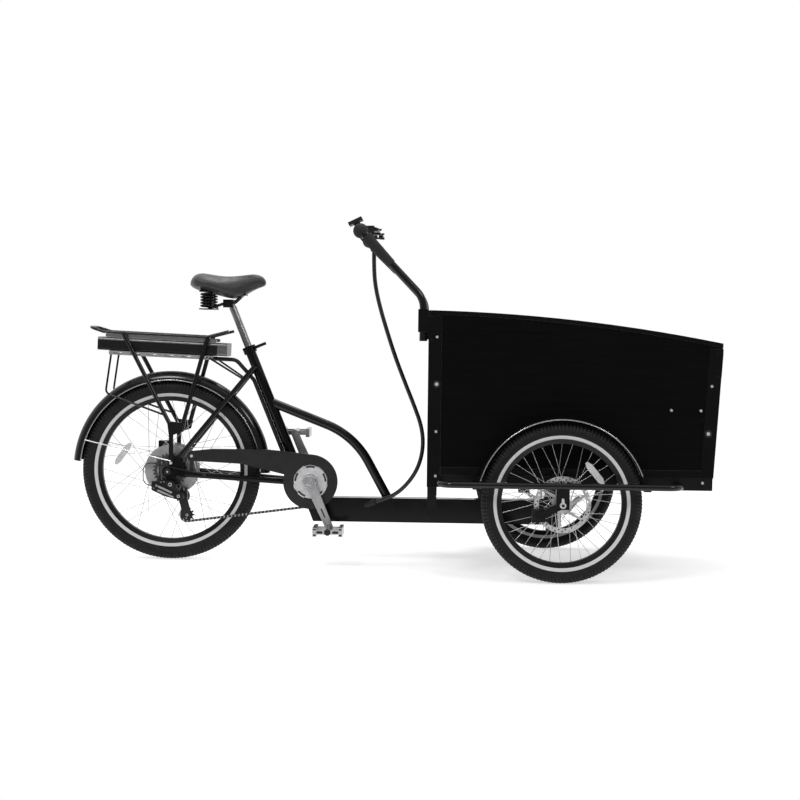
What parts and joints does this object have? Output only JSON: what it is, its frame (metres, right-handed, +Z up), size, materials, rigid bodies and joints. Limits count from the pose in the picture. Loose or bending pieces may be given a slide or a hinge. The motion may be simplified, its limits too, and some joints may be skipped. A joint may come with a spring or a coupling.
{
  "type": "cargo tricycle",
  "caption": "Front-loading electric cargo tricycle: wooden box on a pivoting underframe with small front wheels, step-through rear frame, chain drive, rack battery and sprung saddle.",
  "frame": {"origin": "on the ground, below the centre of the overall box", "axes": "+X forward, along the length; +Y to the rider's left; +Z up"},
  "size_m": [2.1736, 0.894, 1.1874],
  "materials": {
    "black_powder_coat": "gloss black powder coat",
    "black_panel": "black film-faced plywood",
    "edge_trim": "black edge channel",
    "black_plastic": "satin black",
    "battery_shell": "black with silver ends",
    "steel": "zinc plated",
    "spoke_steel": "bright steel",
    "chain_steel": "oiled steel",
    "silver_alloy": "satin silver",
    "black_alloy": "black anodised",
    "tyre_rubber": "black with a pale reflective band",
    "grip_rubber": "matt black",
    "cable_sleeve": "black sleeve",
    "lever_plastic": "black",
    "saddle_cover": "dark grey padded cover"
  },
  "bodies": {
    "frame": {"main_beam": "black_powder_coat", "frame_bearings": "steel", "seat_tube": "black_powder_coat", "step_through_tube": "black_powder_coat", "chainstays": "black_powder_coat", "seatstays": "black_powder_coat", "frame_fasteners": "steel", "seat_clamp_collar": "black_powder_coat", "rear_rack": "black_powder_coat", "battery_tray": "black_plastic", "rear_mudguard": "black_plastic", "rear_mudguard_stays": "steel", "chain_guard": "black_plastic", "chain": "chain_steel", "rear_derailleur": "black_alloy", "rear_brake_caliper": "black_alloy", "frame_cables": "cable_sleeve", "cable_bundle": "cable_sleeve"},
    "battery": {"battery_case": "battery_shell"},
    "seat_lever": {"seat_clamp_lever": "silver_alloy"},
    "seat": {"seatpost": "silver_alloy", "saddle_frame": "steel", "saddle_springs": "steel", "saddle_cushion": "saddle_cover"},
    "rear_wheel": {"rear_tyre": "tyre_rubber", "rear_rim": "black_alloy", "rear_spokes": "spoke_steel", "rear_hub_motor": "silver_alloy"},
    "freewheel": {"freewheel_sprockets": "chain_steel"},
    "guide_pulley": {"guide_pulley": "lever_plastic"},
    "tension_pulley": {"tension_pulley": "lever_plastic"},
    "crank": {"crank_set": "silver_alloy", "chainring": "silver_alloy"},
    "pedal_right": {"pedal_right": "black_plastic"},
    "pedal_left": {"pedal_left": "black_plastic"},
    "front_unit": {"underframe": "black_powder_coat", "box_floor": "black_panel", "box_panels": "black_panel", "box_edge_trims": "edge_trim", "box_edge_strips": "black_powder_coat", "front_fasteners": "steel", "side_bars": "black_powder_coat", "front_mudguards": "black_plastic", "front_brake_calipers": "black_alloy", "handlebar": "black_powder_coat", "handlebar_clamps": "black_powder_coat", "handlebar_grips": "grip_rubber", "handlebar_controls": "black_plastic", "handlebar_cables": "cable_sleeve"},
    "brake_lever_right": {"brake_lever_right": "black_alloy"},
    "brake_lever_left": {"brake_lever_left": "black_alloy"},
    "shift_lever": {"shift_lever": "lever_plastic"},
    "front_wheel_right": {"front_tyre_right": "tyre_rubber", "front_rim_right": "black_alloy", "front_spokes_right": "spoke_steel", "front_hub_right": "silver_alloy"},
    "front_wheel_left": {"front_tyre_left": "tyre_rubber", "front_rim_left": "black_alloy", "front_spokes_left": "spoke_steel", "front_hub_left": "silver_alloy"}
  },
  "joints": [
    {"name": "steering", "type": "hinge", "parent": "frame", "child": "front_unit", "pos_m": [0.57085, 0, 0.2], "axis": [0, 0, 1], "range_deg": [-30, 30], "deforming": ["cable_bundle"]},
    {"name": "front_wheel_right_spin", "type": "hinge", "parent": "front_unit", "child": "front_wheel_right", "pos_m": [0.57085, -0.374, 0.2575], "axis": [0, 1, 0], "continuous": true},
    {"name": "front_wheel_left_spin", "type": "hinge", "parent": "front_unit", "child": "front_wheel_left", "pos_m": [0.57085, 0.374, 0.2575], "axis": [0, 1, 0], "continuous": true},
    {"name": "rear_wheel_spin", "type": "hinge", "parent": "frame", "child": "rear_wheel", "pos_m": [-0.74615, 0, 0.31], "axis": [0, 1, 0], "continuous": true},
    {"name": "crank_spin", "type": "hinge", "parent": "frame", "child": "crank", "pos_m": [-0.25915, 0, 0.281], "axis": [0, 1, 0], "continuous": true},
    {"name": "freewheel_spin", "type": "hinge", "parent": "frame", "child": "freewheel", "pos_m": [-0.74615, -0.05, 0.31], "axis": [0, 1, 0], "continuous": true},
    {"name": "guide_pulley_spin", "type": "hinge", "parent": "frame", "child": "guide_pulley", "pos_m": [-0.70115, -0.05, 0.226], "axis": [0, 1, 0], "continuous": true},
    {"name": "tension_pulley_spin", "type": "hinge", "parent": "frame", "child": "tension_pulley", "pos_m": [-0.68315, -0.05, 0.16], "axis": [0, 1, 0], "continuous": true},
    {"name": "pedal_right_spin", "type": "hinge", "parent": "crank", "child": "pedal_right", "pos_m": [-0.19001, -0.144, 0.1257], "axis": [0, 1, 0], "continuous": true},
    {"name": "pedal_left_spin", "type": "hinge", "parent": "crank", "child": "pedal_left", "pos_m": [-0.3283, 0.144, 0.4363], "axis": [0, 1, 0], "continuous": true},
    {"name": "seat_height", "type": "slide", "parent": "frame", "child": "seat", "axis": [-0.3795, 0, 0.9252], "range_m": [-0.05, 0.1]},
    {"name": "seat_lever_swing", "type": "hinge", "parent": "frame", "child": "seat_lever", "pos_m": [-0.45315, -0.018, 0.73812], "axis": [0.3795, 0, -0.9252], "range_deg": [0, 120]},
    {"name": "battery_slide", "type": "slide", "parent": "frame", "child": "battery", "axis": [-0.9991, 0, 0.0419], "range_m": [0, 0.35]},
    {"name": "brake_lever_right_pull", "type": "hinge", "parent": "front_unit", "child": "brake_lever_right", "pos_m": [-0.03515, -0.118, 1.129], "axis": [0, 0, -1], "range_deg": [0, 11], "stiffness_Nm_per_rad": 0.6, "springref_deg": -5.73},
    {"name": "brake_lever_left_pull", "type": "hinge", "parent": "front_unit", "child": "brake_lever_left", "pos_m": [-0.03515, 0.118, 1.129], "axis": [0, 0, 1], "range_deg": [0, 11], "stiffness_Nm_per_rad": 0.6, "springref_deg": -5.73},
    {"name": "shift_lever_turn", "type": "hinge", "parent": "front_unit", "child": "shift_lever", "pos_m": [-0.05715, -0.078, 1.147], "axis": [0, 0, 1], "range_deg": [-20, 20]}
  ],
  "couplings": [
    {"joint": "freewheel_spin", "follows": "crank_spin", "ratio": 2.3333},
    {"joint": "guide_pulley_spin", "follows": "crank_spin", "ratio": -3.8182},
    {"joint": "tension_pulley_spin", "follows": "crank_spin", "ratio": 3.8182}
  ]
}
